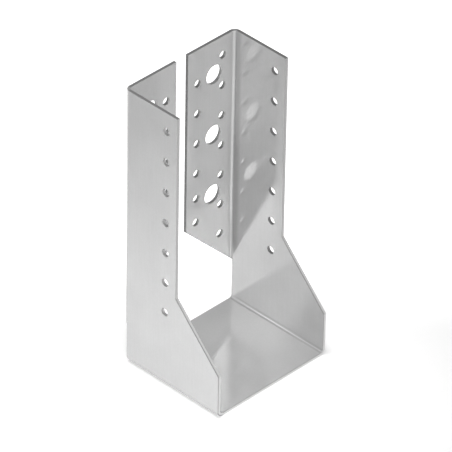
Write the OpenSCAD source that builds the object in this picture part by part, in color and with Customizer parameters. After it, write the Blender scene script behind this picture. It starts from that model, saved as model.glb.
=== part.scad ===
// Concealed-flange joist hanger, folded from one sheet of zinc-coated steel.
// A flat seat carries the joist, two side walls rise from it, and a flange on
// each wall turns inwards behind the joist, where it is fixed to the header.
// X runs across the joist, +Y points at the header and +Z is up. The origin is
// the middle of the bounding box, at the underside of the seat.

/* [Joist] */
// Clear width between the side walls, the width of the joist
joist_w = 80; // [60:1:140]
// Height of the side walls above the top of the seat
wall_h = 180; // [170:1:240]

/* [Sheet] */
// Thickness of the sheet
sheet_t = 2; // [1:0.1:3]
// Inner radius of every fold
fold_r = 2; // [1:0.1:4]

/* [Side walls] */
// Depth of the seat and of the foot of each wall, from the header face
seat_d = 74; // [65:1:100]
// Depth of the upper part of each wall, from the header face
wall_d = 40.5; // [36:0.5:55]
// Height of the upright front edge at the foot of each wall
foot_h = 28; // [15:1:35]
// Height over which the front edge slopes back from the foot to the upper wall
slope_h = 35; // [20:1:40]
// Setback of the seat's and the walls' rear edges from the header face
rear_setback = 3; // [1:0.5:4]

/* [Flanges] */
// Width of each flange, from the outer face of its wall
flange_w = 37.5; // [34:0.5:41]
// Height of the flange's lower edge where it meets the outer face of the wall
flange_foot_h = 26; // [20:1:35]
// Angle at which the flange's lower edge rises towards the middle
flange_cut_angle = 45; // [30:1:50]

/* [Nail holes] */
// Diameter of the nail holes
nail_d = 5; // [3:0.1:6]
// Height between one nail hole and the next in a column
nail_pitch = 20; // [16:1:21]
// Nail holes in the column beside each fold, and in each side wall
nail_rows = 7; // [3:1:7]
// Distance of the highest nail holes from the top edge
nail_top = 12; // [8:1:16]
// Distance of the side walls' nail holes from the front edge of the upper wall
wall_nail_inset = 8; // [6:0.5:14]
// Distance of the nail holes beside the fold from the outer face of the wall
fold_nail_inset = 11; // [9:0.5:12]
// Distance of the flange's inner nail holes from its free edge
edge_nail_inset = 7.5; // [5:0.5:8]
// Evenly spaced nail holes in the column beside the free edge
edge_nail_rows = 4; // [2:1:4]
// Drop to the last nail hole but one beside the free edge
edge_nail_drop = 17; // [10:1:20]
// Drop from there to the lowest nail hole beside the free edge
edge_nail_last_drop = 16; // [10:1:20]

/* [Bolt holes] */
// Diameter of the bolt holes
bolt_d = 12; // [9:0.5:13]
// Distance of the bolt holes from the flange's free edge
bolt_inset = 20; // [18:0.5:21]
// Bolt holes in each flange
bolt_rows = 3; // [1:1:3]

/* [Hidden] */
$fn = 64;

// Sheet faces and folds
outer_w = joist_w + 2 * sheet_t;
outer_r = fold_r + sheet_t;
top_z = wall_h + sheet_t;
header_y = seat_d / 2;
front_y = -seat_d / 2;
wall_front_y = header_y - wall_d;
rear_edge_y = header_y - rear_setback;
flange_free_x = outer_w / 2 - flange_w;
side_face_x = outer_w / 2;
flange_rise = tan(flange_cut_angle);
rear_edge_top_z = flange_foot_h + sheet_t * flange_rise;

// Hole rows and columns
top_nail_z = top_z - nail_top;
edge_nail_z = top_nail_z - nail_pitch / 2;
last_even_z = edge_nail_z - (edge_nail_rows - 1) * nail_pitch;
wall_nail_y = wall_front_y + wall_nail_inset;
fold_nail_x = side_face_x - fold_nail_inset;
edge_nail_x = flange_free_x + edge_nail_inset;
bolt_x = flange_free_x + bolt_inset;
bolt_pitch = 2 * nail_pitch;

// Length by which a cut runs past the faces it goes through
cut = 1;

// Heights of the evenly spaced nail rows, from the top one down
function nail_heights(first, rows) = [for (row = [0:rows - 1]) first - row * nail_pitch];

// Heights of the column beside the flange's free edge: an even run, then two closer holes
edge_nail_heights = concat(
    nail_heights(edge_nail_z, edge_nail_rows),
    [last_even_z - edge_nail_drop, last_even_z - edge_nail_drop - edge_nail_last_drop]
);

// Heights of the bolt holes, each level with a nail hole beside the free edge
bolt_heights = [for (row = [0:bolt_rows - 1]) edge_nail_z - row * bolt_pitch];

// Draws its children on the right-hand side and mirrored on the left
module both_sides() {
    children();
    mirror([1, 0, 0]) children();
}

// Quarter of a bent sheet in plan, centred on the middle of the fold
module fold_section() {
    intersection() {
        difference() {
            circle(r = outer_r);
            circle(r = fold_r);
        }
        square(outer_r);
    }
}

// Front view of the seat and its two walls: the bent U that the joist sits in
module cradle_section() {
    corner_x = outer_w / 2 - outer_r;
    translate([-corner_x, 0]) square([2 * corner_x, sheet_t]);
    both_sides() {
        translate([side_face_x - sheet_t, outer_r]) square([sheet_t, top_z - outer_r]);
        translate([corner_x, outer_r]) mirror([0, 1, 0]) fold_section();
    }
}

// Side view of a wall and the seat's edge: deep at the foot, sloping back to the upper wall
module wall_outline() {
    polygon([
        [rear_edge_y, 0],
        [front_y, 0],
        [front_y, foot_h],
        [wall_front_y, foot_h + slope_h],
        [wall_front_y, top_z],
        [header_y - outer_r, top_z],
        [header_y - outer_r, rear_edge_top_z],
        [rear_edge_y, rear_edge_top_z]
    ]);
}

// Plan of the right-hand flange with the fold that joins it to the wall
module flange_section() {
    translate([side_face_x - outer_r, header_y - outer_r]) fold_section();
    translate([flange_free_x, header_y - sheet_t]) square([flange_w - outer_r, sheet_t]);
}

// Front view of the flange's blank: its lower edge rises towards the free edge
module flange_outline() {
    polygon([
        [side_face_x + cut, flange_foot_h - cut * flange_rise],
        [flange_free_x - cut, flange_foot_h + (flange_w + cut) * flange_rise],
        [flange_free_x - cut, top_z],
        [side_face_x + cut, top_z]
    ]);
}

// Seat and side walls
module cradle() {
    intersection() {
        translate([0, header_y, 0]) rotate([90, 0, 0]) linear_extrude(seat_d) cradle_section();
        translate([-side_face_x - cut, 0, 0])
            rotate([90, 0, 90]) linear_extrude(outer_w + 2 * cut) wall_outline();
    }
}

// Right-hand flange and its fold, trimmed along the sloping lower edge
module flange() {
    intersection() {
        linear_extrude(top_z) flange_section();
        translate([0, header_y + cut, 0])
            rotate([90, 0, 0]) linear_extrude(outer_r + 2 * cut) flange_outline();
    }
}

// One punched hole through a flange, along Y
module flange_hole(x, z, d) {
    translate([x, header_y + cut, z]) rotate([90, 0, 0]) cylinder(d = d, h = sheet_t + 2 * cut);
}

// One punched hole through a side wall, along X
module wall_hole(y, z, d) {
    translate([side_face_x - sheet_t - cut, y, z])
        rotate([0, 90, 0]) cylinder(d = d, h = sheet_t + 2 * cut);
}

// All holes on the right-hand side
module holes() {
    for (z = nail_heights(top_nail_z, nail_rows)) {
        flange_hole(fold_nail_x, z, nail_d);
        wall_hole(wall_nail_y, z, nail_d);
    }
    for (z = edge_nail_heights) flange_hole(edge_nail_x, z, nail_d);
    for (z = bolt_heights) flange_hole(bolt_x, z, bolt_d);
}

// The whole hanger
module hanger() {
    color([0.75, 0.76, 0.77])
        difference() {
            union() {
                cradle();
                both_sides() flange();
            }
            both_sides() holes();
        }
}

hanger();
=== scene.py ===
import math

import bpy
from mathutils import Matrix, Vector


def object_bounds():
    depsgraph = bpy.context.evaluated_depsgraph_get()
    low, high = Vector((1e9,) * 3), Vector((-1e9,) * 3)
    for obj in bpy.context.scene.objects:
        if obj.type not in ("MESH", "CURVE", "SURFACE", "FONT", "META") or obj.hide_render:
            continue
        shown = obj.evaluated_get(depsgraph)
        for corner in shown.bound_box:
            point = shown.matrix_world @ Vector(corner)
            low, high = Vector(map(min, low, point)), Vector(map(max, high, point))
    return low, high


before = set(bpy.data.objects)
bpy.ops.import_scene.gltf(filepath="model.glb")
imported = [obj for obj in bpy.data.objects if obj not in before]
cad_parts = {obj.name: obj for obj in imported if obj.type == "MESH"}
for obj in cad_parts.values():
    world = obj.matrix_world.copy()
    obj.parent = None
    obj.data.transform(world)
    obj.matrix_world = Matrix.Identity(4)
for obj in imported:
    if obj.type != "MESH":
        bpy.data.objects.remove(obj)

CAD_LOW, CAD_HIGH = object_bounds()
CENTRE = (CAD_LOW + CAD_HIGH) / 2
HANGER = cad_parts["hanger"]

# The sheet, in metres: its thickness, its folds and the planes where they begin
SHEET_T = 0.002
FOLD_R = 0.002
FOLD_MID_R = FOLD_R + SHEET_T / 2
FOLD_X = CAD_HIGH.x - SHEET_T - FOLD_R
FOLD_Y = CAD_HIGH.y - SHEET_T - FOLD_R
FOLD_Z = CAD_LOW.z + SHEET_T + FOLD_R

# Heights of the flange's lower edge and of the slope up to the upper wall
FLANGE_FOOT_Z = CAD_LOW.z + 0.026
SLOPE_LOW_Z = CAD_LOW.z + 0.05
SLOPE_HIGH_Z = CAD_LOW.z + 0.07

# Front edge of the upper walls
WALL_FRONT_Y = CAD_HIGH.y - 0.0405

# Camera
VIEW_AZIMUTH = math.radians(-45.66)
VIEW_ELEVATION = math.radians(36.18)
VIEW_ROLL = math.radians(1.0)
VIEW_DISTANCE = 3.18
VIEW_LENS_MM = 466.0
VIEW_AIM = Vector((-0.0007, -0.0006, 0.0898))
SENSOR_MM = 36.0

# World: white round the horizon and dimmer overhead, with heights from 0 to 1
SKY_SIDE_SEEN = 1.0
SKY_TOP_SEEN = 0.44
SKY_SIDE_LIGHT = 1.0
SKY_TOP_LIGHT = 0.32
SKY_DIM_FROM = 0.15
SKY_DIM_TO = 0.5

# Floor: a white paper that runs away from the camera under the hanger
FLOOR_ALBEDO = 0.85
FLOOR_GLOW = 0.08
PAPER_GLOW = 0.18
PAPER_HALF_W = 0.125
PAPER_SIDE_FADE = 0.145
PAPER_FRONT = -0.17
PAPER_FRONT_FADE = 0.11
BACK_GLOW = 0.68
BACK_FROM = 0.02
BACK_FADE = 0.1

# Lamps: power in watts, size and place in metres
KEY_W = 1.5
KEY_SIZE = 0.22
KEY_DISTANCE = 1.2
KEY_TURN = math.radians(6)
SIDE_LOW_W = 1.18
SIDE_LOW_SIZE = 0.2
SIDE_LOW_PLACE = Vector((-0.35, -0.5, 0.12))
REAR_LEFT_W = 0.43
REAR_LEFT_SIZE = 0.4
REAR_LEFT_PLACE = CENTRE + 1.25 * Vector((-0.577, 0.564, 0.590))
POOL_W = 12.6
POOL_SIZE = 0.12
POOL_PLACE = Vector((-0.06, 0.02, 0.7))
POOL_ANGLE = math.radians(48)

# Zinc coating
METALLIC = 0.5
ZINC_TONE = 0.60
ZINC_ROUGHNESS = 0.15
CLOUD_SIZE = 0.022
CLOUD_TONE = 0.09
SPECKLE_SIZE = 0.0009
SPECKLE_TONE = 0.05
GRAIN_SIZE = 0.0011
GRAIN_STRETCH = (1.0, 1.0, 0.06)
GRAIN_TONE = 0.04
BUMP_STRENGTH = 0.22
BUMP_HEIGHT = 0.00002
FLANGE_SPRING = 0.035

# Folds: painted shade in bands on the walls, beside the flanges and the front, and painted light in
# the seat's folds
WALL_FOLD_SHADE = 0.77
WALL_FRONT_SHADE = 0.86
BAND_W = 0.0045
BAND_FULL = 0.001
BAND_END = 0.0004
BAND_END_FADE = 0.001
BAND_FOOT = 0.003
BAND_FOOT_FULL = 0.016
FRONT_BAND_FULL = 0.002
FRONT_BAND_W = 0.011
FRONT_BAND_HIGH_Z = SLOPE_HIGH_Z + 0.02
LINE_BRIGHT_Y = 0.005
LINE_LOST_Y = 0.032
LINE_REAR_SHARE = 0.2
# Painted shade beside the seat's fold line, and the line's painted highlight
SEAT_FOLD_SHADE = 0.84
SEAT_FOLD_HIGHLIGHT = 1.2

# Bare steel of the cut edges, with painted light and shade by the way they face
CUT_ROUGHNESS = 0.45
CUT_FRACTURE = 0.18
CUT_BURNISHED = 0.44
CUT_FREE_EDGE = 0.2
# Painted shade and light on the hole floors, the cut edges there that face up
CUT_HOLE_FLOOR = 0.24
CUT_WALL_HOLE_FLOOR = 0.5
# Painted shade in the holes of the right wall
RIGHT_HOLE_SHADE = 0.45
# Painted shade on the top edge, lighter in its corners
CUT_TOP = 0.16
CUT_TOP_CORNER = 0.26
# Painted light on the front-facing cut edges, lightest near the foot and darker at one rim
CUT_FRONT = 0.5
CUT_FRONT_RIM = 0.42
CUT_FOOT = 0.6
CUT_FOOT_RIM = 0.22
FRONT_RIM_END = -0.65
FRONT_BRIGHT_FROM = -0.25
FRONT_EDGE_NORMAL = (0.0, -0.924, 0.383)
FRACTURE_FROM = -0.1
FRACTURE_FADE = 0.4
SHEAR_SIZE = 0.0012
FREE_EDGE_REACH = 0.006


def toward_viewer(azimuth, elevation):
    """Unit vector from the object to a viewer; azimuth 0 looks along +Y."""
    return Vector((
        math.sin(azimuth) * math.cos(elevation),
        -math.cos(azimuth) * math.cos(elevation),
        math.sin(elevation),
    ))


def link_object(name, data):
    made = bpy.data.objects.new(name, data)
    bpy.context.scene.collection.objects.link(made)
    return made


def add_camera():
    back = toward_viewer(VIEW_AZIMUTH, VIEW_ELEVATION)
    data = bpy.data.cameras.new("camera")
    data.lens = VIEW_LENS_MM
    data.sensor_width = SENSOR_MM
    data.clip_start = 0.05
    data.clip_end = 50.0
    camera = link_object("camera", data)
    turn = (-back).to_track_quat("-Z", "Y").to_matrix() @ Matrix.Rotation(VIEW_ROLL, 3, "Z")
    camera.matrix_world = Matrix.Translation(VIEW_AIM + back * VIEW_DISTANCE) @ turn.to_4x4()
    bpy.context.scene.camera = camera


def fill(tree, sockets, values):
    """Sets each socket to a number or links it to another socket."""
    for socket, value in zip(sockets, values):
        if isinstance(value, (int, float)):
            socket.default_value = value
        else:
            tree.links.new(value, socket)


def calc(tree, operation, *values):
    """A Math node whose inputs are numbers or sockets."""
    node = tree.nodes.new("ShaderNodeMath")
    node.operation = operation
    fill(tree, node.inputs, values)
    return node.outputs[0]


def ramp(tree, value, start, end, low=0.0, high=1.0):
    """Smooth step from low to high as value goes from start to end."""
    node = tree.nodes.new("ShaderNodeMapRange")
    node.interpolation_type = "SMOOTHSTEP"
    names = ("Value", "From Min", "From Max", "To Min", "To Max")
    fill(tree, [node.inputs[name] for name in names], (value, start, end, low, high))
    return node.outputs[0]


def mix(tree, share, first, second):
    """First where share is 0, second where it is 1."""
    node = tree.nodes.new("ShaderNodeMix")
    node.data_type = "FLOAT"
    fill(tree, (node.inputs[0], node.inputs[2], node.inputs[3]), (share, first, second))
    return node.outputs[0]


def noise(tree, place, size, detail, stretch=(1.0, 1.0, 1.0)):
    """Noise from 0 to 1 with features about size metres across."""
    scaled = tree.nodes.new("ShaderNodeVectorMath")
    scaled.operation = "MULTIPLY"
    scaled.inputs[1].default_value = stretch
    tree.links.new(place, scaled.inputs[0])
    node = tree.nodes.new("ShaderNodeTexNoise")
    node.inputs["Scale"].default_value = 1.0 / size
    node.inputs["Detail"].default_value = detail
    tree.links.new(scaled.outputs[0], node.inputs["Vector"])
    return node.outputs["Fac"]


def centred(tree, value, width):
    """A noise made to vary about 0, by width from end to end."""
    return calc(tree, "MULTIPLY", calc(tree, "SUBTRACT", value, 0.5), width)


def along(tree, place, direction):
    """How far a place lies along a direction."""
    node = tree.nodes.new("ShaderNodeVectorMath")
    node.operation = "DOT_PRODUCT"
    node.inputs[1].default_value = direction
    tree.links.new(place, node.inputs[0])
    return node.outputs["Value"]


def split_place(tree, place):
    node = tree.nodes.new("ShaderNodeSeparateXYZ")
    tree.links.new(place, node.inputs[0])
    return node.outputs["X"], node.outputs["Y"], node.outputs["Z"]


class Sheet:
    """Where a place lies in the folded sheet, worked out from its coordinates."""

    def __init__(self, tree, coords):
        self.tree = tree
        self.place = coords.outputs["Object"]
        self.normal = coords.outputs["Normal"]
        self.x, self.y, self.z = split_place(tree, self.place)
        from_middle = calc(tree, "ABSOLUTE", self.x)
        above_foot = calc(tree, "GREATER_THAN", self.z, FLANGE_FOOT_Z)
        past_y = calc(tree, "MAXIMUM", calc(tree, "SUBTRACT", self.y, FOLD_Y), 0.0)
        # How far the place lies past the start of each fold
        self.side = calc(tree, "MAXIMUM", calc(tree, "SUBTRACT", from_middle, FOLD_X), 0.0)
        self.rear = calc(tree, "MULTIPLY", past_y, above_foot)
        self.below = calc(tree, "MAXIMUM", calc(tree, "SUBTRACT", FOLD_Z, self.z), 0.0)
        self.depth = self.through()
        self.inner = calc(tree, "LESS_THAN", self.depth, 0.0)

    def through(self):
        """Depth in the sheet, round the folds too: -1 on the inner face, 1 on the outer one."""
        joined = self.tree.nodes.new("ShaderNodeCombineXYZ")
        fill(self.tree, joined.inputs, (self.side, self.rear, self.below))
        reach = self.tree.nodes.new("ShaderNodeVectorMath")
        reach.operation = "LENGTH"
        self.tree.links.new(joined.outputs[0], reach.inputs[0])
        past_middle = calc(self.tree, "SUBTRACT", reach.outputs["Value"], FOLD_MID_R)
        return calc(self.tree, "DIVIDE", past_middle, SHEET_T / 2)

    def cut(self):
        """1 on the cut edges and in the holes, 0 on the faces."""
        inside = calc(self.tree, "SUBTRACT", 1.0, calc(self.tree, "ABSOLUTE", self.depth))
        return ramp(self.tree, inside, 0.06, 0.14)


def wall_painted_shade(sheet):
    """Painted shade: darker bands inside each wall, beside its fold and its front edge."""
    tree = sheet.tree
    beside = ramp(tree, sheet.y, FOLD_Y - BAND_W, FOLD_Y - BAND_FULL)
    past = ramp(tree, sheet.y, FOLD_Y + BAND_END, FOLD_Y + BAND_END + BAND_END_FADE, 1.0, 0.0)
    on_wall = ramp(tree, sheet.z, FLANGE_FOOT_Z + BAND_FOOT, FLANGE_FOOT_Z + BAND_FOOT_FULL)
    across = calc(tree, "MULTIPLY", beside, past)
    band = calc(tree, "MULTIPLY", across, calc(tree, "MULTIPLY", sheet.inner, on_wall))
    ahead_from = WALL_FRONT_Y + FRONT_BAND_FULL
    ahead = ramp(tree, sheet.y, ahead_from, WALL_FRONT_Y + FRONT_BAND_W, 1.0, 0.0)
    upper = ramp(tree, sheet.z, SLOPE_LOW_Z, FRONT_BAND_HIGH_Z)
    front = calc(tree, "MULTIPLY", calc(tree, "MULTIPLY", ahead, upper), sheet.inner)
    folded = mix(tree, band, 1.0, WALL_FOLD_SHADE)
    return calc(tree, "MULTIPLY", folded, mix(tree, front, 1.0, WALL_FRONT_SHADE))


def seat_fold_painted_light(sheet):
    """Painted light inside the seat's folds: a painted highlight line with painted shade on each
    side of it.
    """
    tree = sheet.tree
    nearer = calc(tree, "MINIMUM", sheet.side, sheet.below)
    inside = calc(tree, "MULTIPLY", ramp(tree, nearer, 0.0, 0.0003), sheet.inner)
    whole = calc(tree, "MAXIMUM", calc(tree, "ADD", sheet.side, sheet.below), 0.00001)
    turn = calc(tree, "DIVIDE", sheet.side, whole)
    rise = ramp(tree, turn, 0.42, 0.47)
    line = calc(tree, "MULTIPLY", rise, ramp(tree, turn, 0.52, 0.58, 1.0, 0.0))
    # The photo shows the line brightest at the front and lost towards the rear
    # The line is a painted highlight
    highlight_fade = ramp(tree, sheet.y, LINE_BRIGHT_Y, LINE_LOST_Y, 1.0, LINE_REAR_SHARE)
    line = calc(tree, "MULTIPLY", line, highlight_fade)
    return mix(tree, inside, 1.0, mix(tree, line, SEAT_FOLD_SHADE, SEAT_FOLD_HIGHLIGHT))


def punched_tone(sheet, from_near, shear):
    """Tone in the holes and on the flanges' free edges, with 1 as the far side of the sheet."""
    tree = sheet.tree
    zone = calc(tree, "ADD", from_near, centred(tree, shear, 0.5))
    burnished = ramp(tree, zone, FRACTURE_FROM, FRACTURE_FROM + FRACTURE_FADE, 1.0, 0.0)
    tone = mix(tree, burnished, CUT_FRACTURE, CUT_BURNISHED)
    middle = calc(tree, "LESS_THAN", calc(tree, "ABSOLUTE", sheet.x), FREE_EDGE_REACH)
    free = calc(tree, "MULTIPLY", middle, calc(tree, "GREATER_THAN", sheet.y, FOLD_Y))
    tone = mix(tree, free, tone, CUT_FREE_EDGE)
    return calc(tree, "MULTIPLY", tone, ramp(tree, shear, 0.2, 0.8, 0.75, 1.2))


def upward_painted_shade(sheet):
    """Painted shade and light on the cut edges that face up: a dark top edge, lighter in its
    corners, and hole floors.
    """
    tree = sheet.tree
    corner = ramp(tree, calc(tree, "MINIMUM", sheet.side, sheet.rear), 0.0003, 0.0014)
    top = calc(tree, "GREATER_THAN", sheet.z, CAD_HIGH.z - SHEET_T)
    in_wall = calc(tree, "GREATER_THAN", calc(tree, "ABSOLUTE", sheet.x), FOLD_X)
    hole = mix(tree, in_wall, CUT_HOLE_FLOOR, CUT_WALL_HOLE_FLOOR)
    return mix(tree, top, hole, mix(tree, corner, CUT_TOP, CUT_TOP_CORNER))


def front_painted_light(sheet, from_near):
    """Painted light on the front edges of the walls and the seat: lighter than other cut edges,
    brightest near the foot.
    """
    tree = sheet.tree
    bright = ramp(tree, from_near, FRONT_RIM_END, FRONT_BRIGHT_FROM)
    upper = mix(tree, bright, CUT_FRONT_RIM, CUT_FRONT)
    lower = mix(tree, bright, CUT_FOOT_RIM, CUT_FOOT)
    return mix(tree, ramp(tree, sheet.z, SLOPE_LOW_Z, SLOPE_HIGH_Z, 1.0, 0.0), upper, lower)


def right_hole(sheet):
    """1 in the holes of the right wall, which the photo shows darker."""
    tree = sheet.tree
    on_right = calc(tree, "GREATER_THAN", sheet.x, FOLD_X)
    behind = calc(tree, "GREATER_THAN", sheet.y, WALL_FRONT_Y + SHEET_T)
    below = calc(tree, "LESS_THAN", sheet.z, CAD_HIGH.z - SHEET_T)
    return calc(tree, "MULTIPLY", calc(tree, "MULTIPLY", on_right, behind), below)


def cut_steel_and_painted_light(sheet):
    """Tone of the cut edges: bare steel, with painted light and shade by the way that they face."""
    tree = sheet.tree
    shear = noise(tree, sheet.place, SHEAR_SIZE, 3.0)
    # Set to match the photo: the bright side is the inner one, and the outer one on the left wall
    left = calc(tree, "LESS_THAN", sheet.x, -FOLD_X)
    turned = calc(tree, "SUBTRACT", 1.0, calc(tree, "MULTIPLY", left, 2.0))
    from_near = calc(tree, "MULTIPLY", sheet.depth, turned)
    upward = ramp(tree, along(tree, sheet.normal, (0.0, 0.0, 1.0)), 0.55, 0.85)
    ahead = ramp(tree, along(tree, sheet.normal, FRONT_EDGE_NORMAL), 0.78, 0.92)
    # Painted shade on the cut edges that face up, painted light on those that face the front
    tone = mix(tree, upward, punched_tone(sheet, from_near, shear), upward_painted_shade(sheet))
    tone = mix(tree, ahead, tone, front_painted_light(sheet, from_near))
    # Painted shade in the holes of the right wall
    return calc(tree, "MULTIPLY", tone, mix(tree, right_hole(sheet), 1.0, RIGHT_HOLE_SHADE))


def sprung_normal(sheet):
    """Surface normal, turned a little on the flanges as if they leaned past a right angle."""
    tree = sheet.tree
    behind = calc(tree, "GREATER_THAN", sheet.y, FOLD_Y)
    flat = calc(tree, "LESS_THAN", calc(tree, "ABSOLUTE", sheet.x), FOLD_X)
    above = calc(tree, "GREATER_THAN", sheet.z, FLANGE_FOOT_Z)
    flange = calc(tree, "MULTIPLY", calc(tree, "MULTIPLY", behind, flat), above)
    outward = calc(tree, "MULTIPLY", calc(tree, "SIGN", sheet.x), -FLANGE_SPRING)
    lean = tree.nodes.new("ShaderNodeCombineXYZ")
    tree.links.new(calc(tree, "MULTIPLY", outward, flange), lean.inputs["X"])
    surface = tree.nodes.new("ShaderNodeNewGeometry")
    total = tree.nodes.new("ShaderNodeVectorMath")
    total.operation = "ADD"
    tree.links.new(surface.outputs["Normal"], total.inputs[0])
    tree.links.new(lean.outputs[0], total.inputs[1])
    unit = tree.nodes.new("ShaderNodeVectorMath")
    unit.operation = "NORMALIZE"
    tree.links.new(total.outputs[0], unit.inputs[0])
    return unit.outputs[0]


def new_material(name):
    material = bpy.data.materials.new(name)
    material.use_nodes = True
    material.node_tree.nodes.clear()
    return material, material.node_tree


def zinc_material():
    """Zinc-coated sheet with punched and sheared edges of bare steel."""
    material, tree = new_material("zinc_coated_steel")
    sheet = Sheet(tree, tree.nodes.new("ShaderNodeTexCoord"))
    cut = sheet.cut()
    clouds = noise(tree, sheet.place, CLOUD_SIZE, 3.0)
    speckle = noise(tree, sheet.place, SPECKLE_SIZE, 2.0)
    grain = noise(tree, sheet.place, GRAIN_SIZE, 2.0, GRAIN_STRETCH)

    tone = calc(tree, "ADD", ZINC_TONE, centred(tree, clouds, CLOUD_TONE))
    tone = calc(tree, "ADD", tone, centred(tree, speckle, SPECKLE_TONE))
    tone = calc(tree, "ADD", tone, centred(tree, grain, GRAIN_TONE))
    # Painted shade in bands on the walls
    tone = calc(tree, "MULTIPLY", tone, wall_painted_shade(sheet))
    # Painted highlight and shade in the seat's folds
    tone = calc(tree, "MULTIPLY", tone, seat_fold_painted_light(sheet))
    # Cut edges: bare steel, with painted light and shade by the way they face
    tone = mix(tree, cut, tone, cut_steel_and_painted_light(sheet))
    colour = tree.nodes.new("ShaderNodeCombineColor")
    fill(tree, colour.inputs, (tone, tone, tone))

    smooth = ramp(tree, clouds, 0.2, 0.8, ZINC_ROUGHNESS - 0.03, ZINC_ROUGHNESS + 0.04)
    rough = mix(tree, cut, smooth, CUT_ROUGHNESS)
    fine = calc(tree, "MULTIPLY", speckle, 0.35)
    height = calc(tree, "ADD", fine, calc(tree, "MULTIPLY", grain, 0.25))
    bump = tree.nodes.new("ShaderNodeBump")
    bump.inputs["Strength"].default_value = BUMP_STRENGTH
    bump.inputs["Distance"].default_value = BUMP_HEIGHT
    tree.links.new(height, bump.inputs["Height"])
    tree.links.new(sprung_normal(sheet), bump.inputs["Normal"])

    bsdf = tree.nodes.new("ShaderNodeBsdfPrincipled")
    bsdf.inputs["Metallic"].default_value = METALLIC
    tree.links.new(colour.outputs[0], bsdf.inputs["Base Color"])
    tree.links.new(rough, bsdf.inputs["Roughness"])
    tree.links.new(bump.outputs["Normal"], bsdf.inputs["Normal"])
    out = tree.nodes.new("ShaderNodeOutputMaterial")
    tree.links.new(bsdf.outputs["BSDF"], out.inputs["Surface"])
    return material


def seen_by_eye_or_mirror(tree):
    """1 for rays from the camera, off metal and through glass."""
    path = tree.nodes.new("ShaderNodeLightPath")
    direct = calc(tree, "MAXIMUM", path.outputs["Is Camera Ray"], path.outputs["Is Glossy Ray"])
    return calc(tree, "MAXIMUM", direct, path.outputs["Is Transmission Ray"])


def floor_glow(tree, place):
    """Brightness that the floor shows of itself, by where it lies on the paper."""
    away = along(tree, place, -toward_viewer(VIEW_AZIMUTH, 0.0))
    aside = along(tree, place, toward_viewer(VIEW_AZIMUTH + math.pi / 2, 0.0))
    fade_end = PAPER_HALF_W + PAPER_SIDE_FADE
    across = ramp(tree, calc(tree, "ABSOLUTE", aside), PAPER_HALF_W, fade_end, 1.0, 0.0)
    front = ramp(tree, away, PAPER_FRONT, PAPER_FRONT + PAPER_FRONT_FADE)
    paper = calc(tree, "MULTIPLY", calc(tree, "MULTIPLY", across, front), PAPER_GLOW)
    back = ramp(tree, away, BACK_FROM, BACK_FROM + BACK_FADE, 0.0, BACK_GLOW)
    return calc(tree, "ADD", calc(tree, "ADD", FLOOR_GLOW, paper), back)


def add_floor():
    bpy.ops.mesh.primitive_plane_add(size=8)
    floor = bpy.context.object
    floor.name = "floor"
    material, tree = new_material("floor_white")
    bsdf = tree.nodes.new("ShaderNodeBsdfPrincipled")
    bsdf.inputs["Base Color"].default_value = (FLOOR_ALBEDO, FLOOR_ALBEDO, FLOOR_ALBEDO, 1)
    bsdf.inputs["Roughness"].default_value = 0.9
    bsdf.inputs["Specular IOR Level"].default_value = 0.0
    bsdf.inputs["Emission Color"].default_value = (1, 1, 1, 1)
    coords = tree.nodes.new("ShaderNodeTexCoord")
    glow = floor_glow(tree, coords.outputs["Object"])
    strength = calc(tree, "MULTIPLY", glow, seen_by_eye_or_mirror(tree))
    tree.links.new(strength, bsdf.inputs["Emission Strength"])
    out = tree.nodes.new("ShaderNodeOutputMaterial")
    tree.links.new(bsdf.outputs["BSDF"], out.inputs["Surface"])
    floor.data.materials.append(material)


def add_world():
    """A studio that is white round the horizon and dim overhead."""
    world = bpy.data.worlds.new("studio")
    bpy.context.scene.world = world
    world.use_nodes = True
    tree = world.node_tree
    tree.nodes.clear()
    coords = tree.nodes.new("ShaderNodeTexCoord")
    height = split_place(tree, coords.outputs["Generated"])[2]
    seen = ramp(tree, height, SKY_DIM_FROM, SKY_DIM_TO, SKY_SIDE_SEEN, SKY_TOP_SEEN)
    light = ramp(tree, height, SKY_DIM_FROM, SKY_DIM_TO, SKY_SIDE_LIGHT, SKY_TOP_LIGHT)
    sky = tree.nodes.new("ShaderNodeBackground")
    sky.inputs["Color"].default_value = (1, 1, 1, 1)
    tree.links.new(mix(tree, seen_by_eye_or_mirror(tree), light, seen), sky.inputs["Strength"])
    out = tree.nodes.new("ShaderNodeOutputWorld")
    tree.links.new(sky.outputs[0], out.inputs["Surface"])


def add_lamp(name, place, size, power):
    """A round soft lamp that faces the hanger."""
    data = bpy.data.lights.new(name, "AREA")
    data.shape = "DISK"
    data.size = size
    data.energy = power
    lamp = link_object(name, data)
    lamp.location = place
    lamp.rotation_mode = "QUATERNION"
    lamp.rotation_quaternion = (CENTRE - place).to_track_quat("-Z", "Y")
    lamp.visible_camera = False


def add_pool():
    """A soft spot lamp overhead that lights the paper round the foot."""
    data = bpy.data.lights.new("pool", "SPOT")
    data.energy = POOL_W
    data.shadow_soft_size = POOL_SIZE
    data.spot_size = POOL_ANGLE
    data.spot_blend = 1.0
    lamp = link_object("pool", data)
    lamp.location = POOL_PLACE
    lamp.visible_camera = False


def add_lamps():
    key_place = CENTRE + KEY_DISTANCE * toward_viewer(VIEW_AZIMUTH + KEY_TURN, VIEW_ELEVATION)
    add_lamp("key", key_place, KEY_SIZE, KEY_W)
    add_lamp("side_low", SIDE_LOW_PLACE, SIDE_LOW_SIZE, SIDE_LOW_W)
    add_lamp("rear_left", REAR_LEFT_PLACE, REAR_LEFT_SIZE, REAR_LEFT_W)
    add_pool()


HANGER.data.materials.clear()
HANGER.data.materials.append(zinc_material())
add_camera()
add_floor()
add_world()
add_lamps()
bpy.context.scene.view_settings.view_transform = "Standard"
